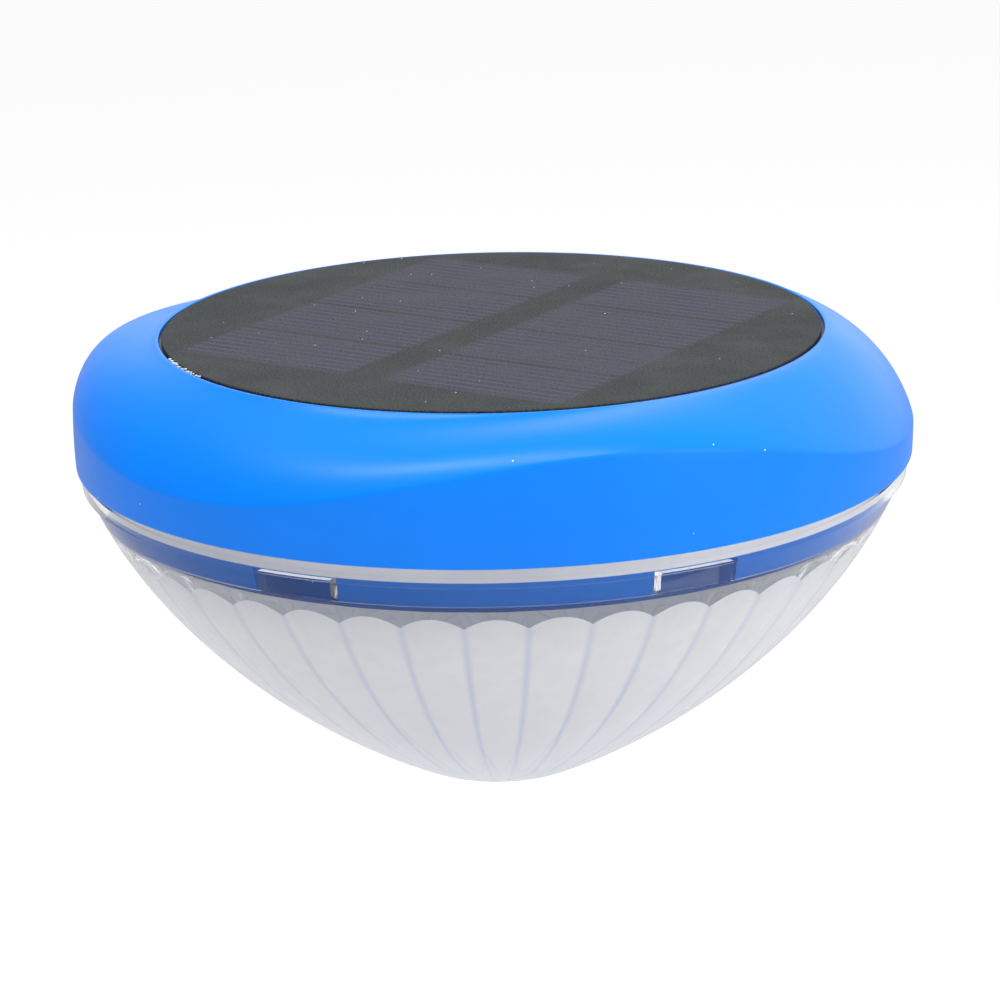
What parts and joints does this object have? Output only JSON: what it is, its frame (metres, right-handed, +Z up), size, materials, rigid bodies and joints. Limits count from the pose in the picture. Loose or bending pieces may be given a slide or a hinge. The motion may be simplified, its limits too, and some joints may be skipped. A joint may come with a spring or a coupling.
{
  "type": "floating pool light",
  "caption": "Floating pool light: blue float with a wavy shoulder, a round solar panel on top and a clear fluted bowl below that spreads the lamps' light.",
  "frame": {"origin": "on the light's axis, at the water surface", "axes": "+Z up, out of the solar panel; -Y is the front; +X to the right seen from the front"},
  "size_m": [0.1636, 0.1636, 0.0904],
  "materials": {
    "float_blue": "satin moulded",
    "clear_lens": "clear polished plastic, fluted inside",
    "encapsulant": "fine-grained, dark",
    "silicon": "dark blue-grey wafer with fine lines",
    "tinned_metal": "tinned",
    "board_black": "solder mask",
    "bond_white": "adhesive",
    "sealant_dark": "cured sealant",
    "seal_silicone": "translucent white silicone",
    "tray_white": "moulded",
    "screw_steel": "stainless",
    "board_white": "white solder mask on aluminium",
    "lamp_body": "lamp package",
    "reflector_silver": "metallised",
    "battery_wrap": "plastic sleeve",
    "board_black_plastic": "moulded",
    "contact_metal": "nickel plated",
    "door_blue": "satin moulded",
    "button_red": "moulded",
    "board_green": "solder mask",
    "chip_black": "moulded",
    "capacitor_can": "can",
    "socket_white": "moulded",
    "wire_cover": "insulation"
  },
  "bodies": {
    "float": {"top_housing": "float_blue", "lens_seal": "seal_silicone", "panel_board": "board_black", "cell_ribbons": "tinned_metal", "panel_encapsulant": "encapsulant", "panel_adhesive": "bond_white", "panel_sealant": "sealant_dark", "lamp_tray": "tray_white", "tray_screws": "screw_steel", "light_board": "board_white", "reflector_ring": "reflector_silver", "reflector_screws": "screw_steel", "battery_holder": "board_black_plastic", "battery_pads": "contact_metal", "battery_springs": "contact_metal", "switch_body": "board_black_plastic", "control_board": "board_green", "control_chip": "chip_black", "boost_inductor": "chip_black", "smoothing_capacitor": "capacitor_can", "resistors": "chip_black", "wire_sockets": "socket_white", "panel_leads": "wire_cover", "light_leads": "wire_cover", "switch_leads": "wire_cover", "solar_cell_1": "silicon", "solar_cell_2": "silicon", "solar_cell_3": "silicon", "solar_cell_4": "silicon", "solar_cell_5": "silicon", "solar_cell_6": "silicon", "solar_cell_7": "silicon", "solar_cell_8": "silicon", "lamp_1": "lamp_body", "lamp_2": "lamp_body", "lamp_3": "lamp_body", "lamp_4": "lamp_body", "lamp_5": "lamp_body", "lamp_6": "lamp_body", "battery_1": "battery_wrap", "battery_2": "battery_wrap", "battery_3": "battery_wrap"},
    "lens": {"lens_dome": "clear_lens"},
    "door": {"battery_door": "door_blue", "door_screws": "screw_steel"},
    "button": {"power_button": "button_red"}
  },
  "joints": [
    {"name": "lens_pull", "type": "slide", "parent": "float", "child": "lens", "axis": [0, 0, -1], "range_m": [0, 0.1]},
    {"name": "door_pull", "type": "slide", "parent": "float", "child": "door", "axis": [0, 0, -1], "range_m": [0, 0.03]},
    {"name": "button_press", "type": "slide", "parent": "float", "child": "button", "axis": [0, 0, 1], "range_m": [0, 0.0012], "stiffness_N_per_m": 600}
  ]
}
